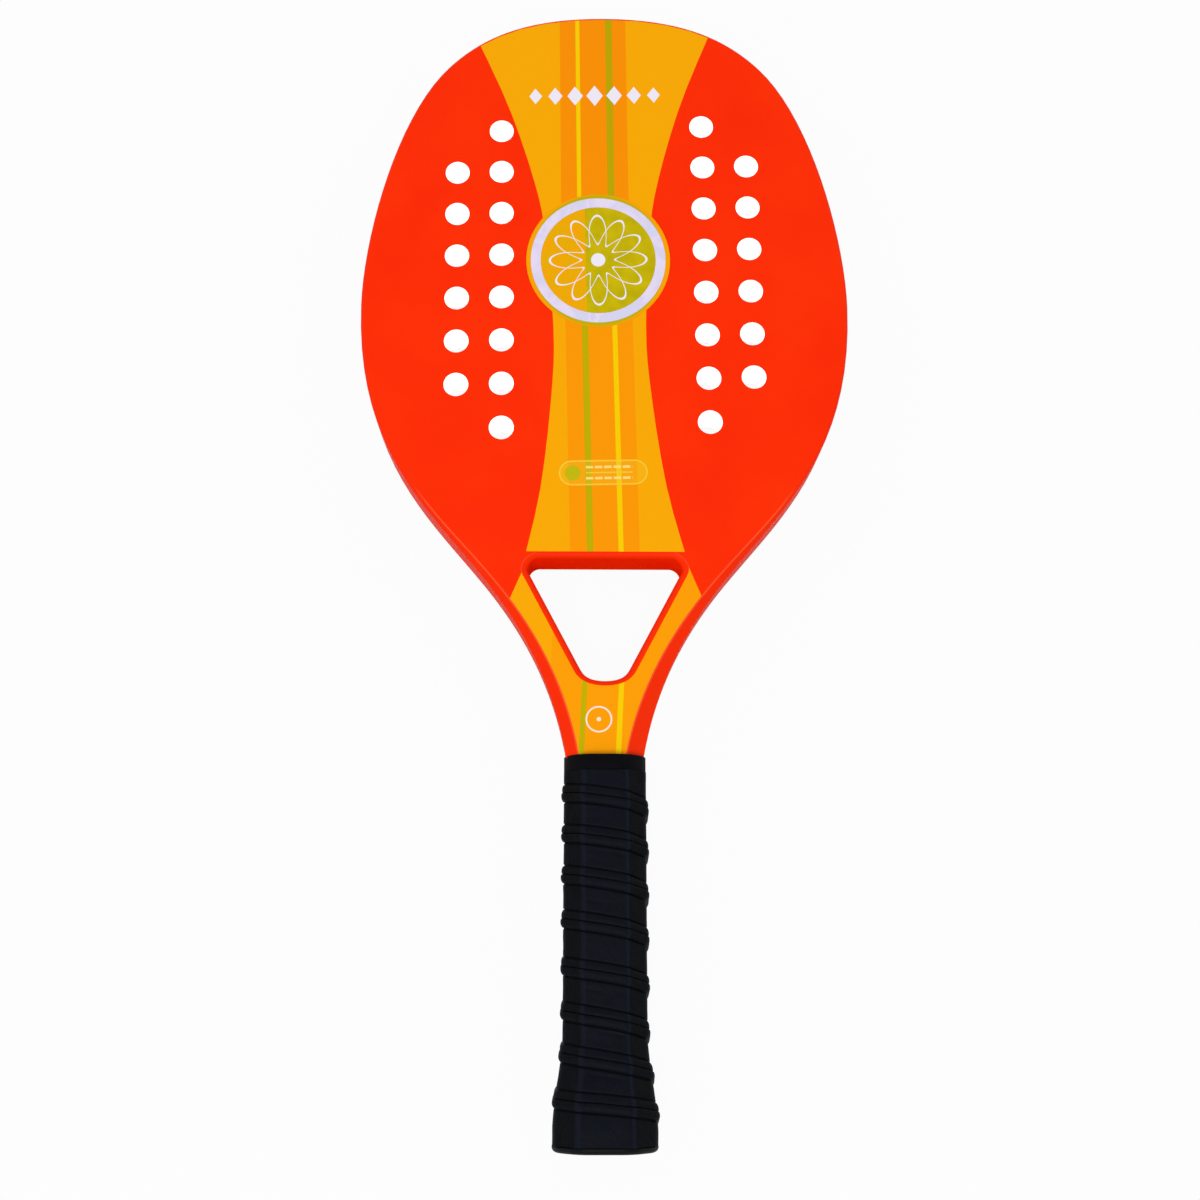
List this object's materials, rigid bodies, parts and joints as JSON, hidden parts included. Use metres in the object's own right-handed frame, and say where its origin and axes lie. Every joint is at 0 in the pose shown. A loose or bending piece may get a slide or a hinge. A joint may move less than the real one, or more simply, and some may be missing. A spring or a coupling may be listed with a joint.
{
  "type": "beach tennis racket",
  "caption": "Beach tennis racket: drilled foam-cored head with laminate faces, open triangular throat and a short flared octagonal handle in a ribbed wound grip.",
  "frame": {"origin": "centre of the bounding box in X and Y, at the level of the handle's lowest point in Z", "axes": "+Y from the butt to the tip along the handle, +Z out of the front face, +X across the head to the right as seen from the front"},
  "size_m": [0.2154, 0.5, 0.0368],
  "materials": {
    "painted_body": "lacquered glass fibre laminate, semi-gloss red-orange",
    "eva_foam": "closed-cell EVA foam, matt",
    "amber_print": "printed film under lacquer, amber with striped bands",
    "lime_print": "printed film under lacquer, olive-lime",
    "holographic_foil": "holographic foil, pale lavender",
    "label_print": "printed film under lacquer, blank yellow",
    "pallet_foam": "rigid polyurethane foam",
    "cap_plastic": "moulded black plastic",
    "staple_steel": "zinc-plated steel wire",
    "collar_rubber": "matt black",
    "grip_leather": "synthetic polyurethane leather, matt black"
  },
  "bodies": {
    "root": {"frame_tube": "painted_body", "throat_bridge": "painted_body", "neck_filler": "painted_body", "foam_core": "eva_foam", "front_skin": "painted_body", "back_skin": "painted_body", "front_pallet": "pallet_foam", "back_pallet": "pallet_foam", "butt_cap": "cap_plastic", "front_cap_staple": "staple_steel", "back_cap_staple": "staple_steel", "neck_collar": "collar_rubber", "grip_strip": "grip_leather", "front_head_panel": "amber_print", "front_throat_panel": "amber_print", "front_roundel": "lime_print", "front_foil_ring": "holographic_foil", "front_label": "label_print", "back_head_panel": "amber_print", "back_throat_panel": "amber_print", "back_roundel": "lime_print", "back_foil_ring": "holographic_foil", "back_label": "label_print"}
  },
  "joints": []
}
